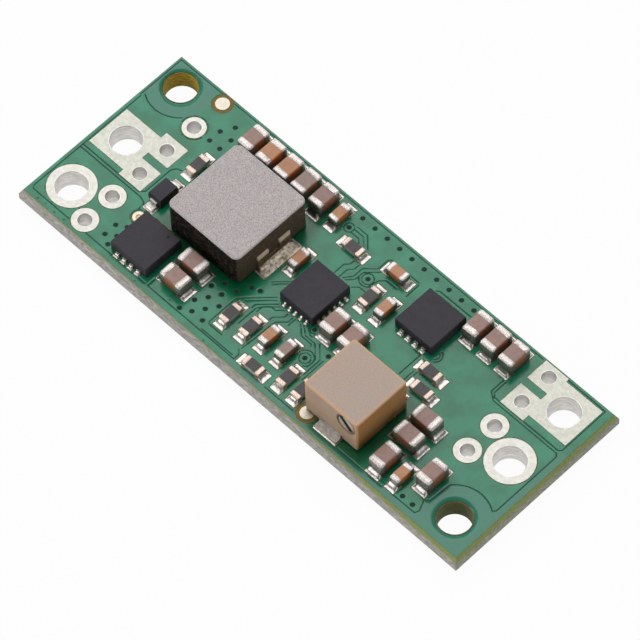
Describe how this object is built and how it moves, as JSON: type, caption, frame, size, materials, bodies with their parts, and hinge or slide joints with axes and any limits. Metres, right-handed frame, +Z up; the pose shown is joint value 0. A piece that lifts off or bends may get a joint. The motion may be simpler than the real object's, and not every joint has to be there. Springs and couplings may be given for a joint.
{
  "type": "dc-dc converter module",
  "caption": "Small open dc-dc converter board with power inductor, adjusting trimmer, chip capacitors and plated wire and pin holes.",
  "frame": {"origin": "middle of the board's underside", "axes": "+X along the board's length towards the end with the trimmer, +Y across it towards the row of input capacitors, +Z up from the part side"},
  "size_m": [0.0406, 0.0152, 0.0049],
  "materials": {
    "laminate": "green solder mask on glass epoxy",
    "tinned_copper": "tin over copper",
    "gilded_copper": "bare plated copper",
    "chip_ceramic": "fired ceramic with metal ends",
    "resistor_ceramic": "glazed dark top on white ceramic",
    "pressed_iron_powder": "pressed powder, matt",
    "trimmer_plastic": "moulded, matt",
    "screw_metal": "plated brass",
    "moulding_compound": "moulded epoxy",
    "tinned_terminals": "tin plated"
  },
  "bodies": {
    "board": {"bulk_capacitor_1": "chip_ceramic", "bulk_capacitor_2": "chip_ceramic", "bulk_capacitor_3": "chip_ceramic", "bulk_capacitor_4": "chip_ceramic", "bulk_capacitor_5": "chip_ceramic", "bulk_capacitor_6": "chip_ceramic", "bulk_capacitor_7": "chip_ceramic", "bulk_capacitor_8": "chip_ceramic", "bypass_capacitor_1": "chip_ceramic", "bypass_capacitor_2": "chip_ceramic", "bypass_capacitor_3": "chip_ceramic", "bypass_capacitor_4": "chip_ceramic", "bypass_capacitor_5": "chip_ceramic", "bypass_capacitor_6": "chip_ceramic", "bypass_capacitor_7": "chip_ceramic", "chip_resistor_1": "resistor_ceramic", "chip_resistor_10": "resistor_ceramic", "chip_resistor_2": "resistor_ceramic", "chip_resistor_3": "resistor_ceramic", "chip_resistor_4": "resistor_ceramic", "chip_resistor_5": "resistor_ceramic", "chip_resistor_6": "resistor_ceramic", "chip_resistor_7": "resistor_ceramic", "chip_resistor_8": "resistor_ceramic", "chip_resistor_9": "resistor_ceramic", "circuit_board": "laminate", "controller": "moulding_compound", "controller_lands": "tinned_terminals", "diode_leads": "tinned_terminals", "enable_pin_eyelet": "tinned_copper", "fiducial_marks": "gilded_copper", "inductor_core": "pressed_iron_powder", "inductor_left_terminal": "tinned_terminals", "inductor_right_terminal": "tinned_terminals", "input_capacitor_1": "chip_ceramic", "input_capacitor_2": "chip_ceramic", "input_capacitor_3": "chip_ceramic", "input_capacitor_4": "chip_ceramic", "input_capacitor_5": "chip_ceramic", "left_pin_eyelets": "tinned_copper", "left_power_pad": "tinned_copper", "left_transistor": "moulding_compound", "left_transistor_leads": "tinned_terminals", "left_wire_eyelet": "tinned_copper", "output_capacitor_1": "chip_ceramic", "output_capacitor_2": "chip_ceramic", "output_capacitor_3": "chip_ceramic", "rectifier_diode": "moulding_compound", "right_pin_eyelets": "tinned_copper", "right_power_pad": "tinned_copper", "right_transistor": "moulding_compound", "right_transistor_leads": "tinned_terminals", "right_wire_eyelet": "tinned_copper", "surface_pads": "tinned_copper", "test_point": "gilded_copper", "trimmer_element": "resistor_ceramic", "trimmer_housing": "trimmer_plastic", "trimmer_terminals": "tinned_terminals"},
    "screw": {"adjusting_screw": "screw_metal"},
    "rotor": {"trimmer_rotor": "trimmer_plastic"}
  },
  "joints": [
    {"name": "screw_turn", "type": "hinge", "parent": "board", "child": "screw", "pos_m": [0.00908, -0.00614, 0.00402], "axis": [0, -1, 0], "continuous": true},
    {"name": "rotor_turn", "type": "hinge", "parent": "board", "child": "rotor", "pos_m": [0.00707, -0.00392, 0.0035], "axis": [0, 0, 1], "continuous": true}
  ],
  "couplings": [
    {"joint": "rotor_turn", "follows": "screw_turn", "ratio": -0.0909}
  ]
}
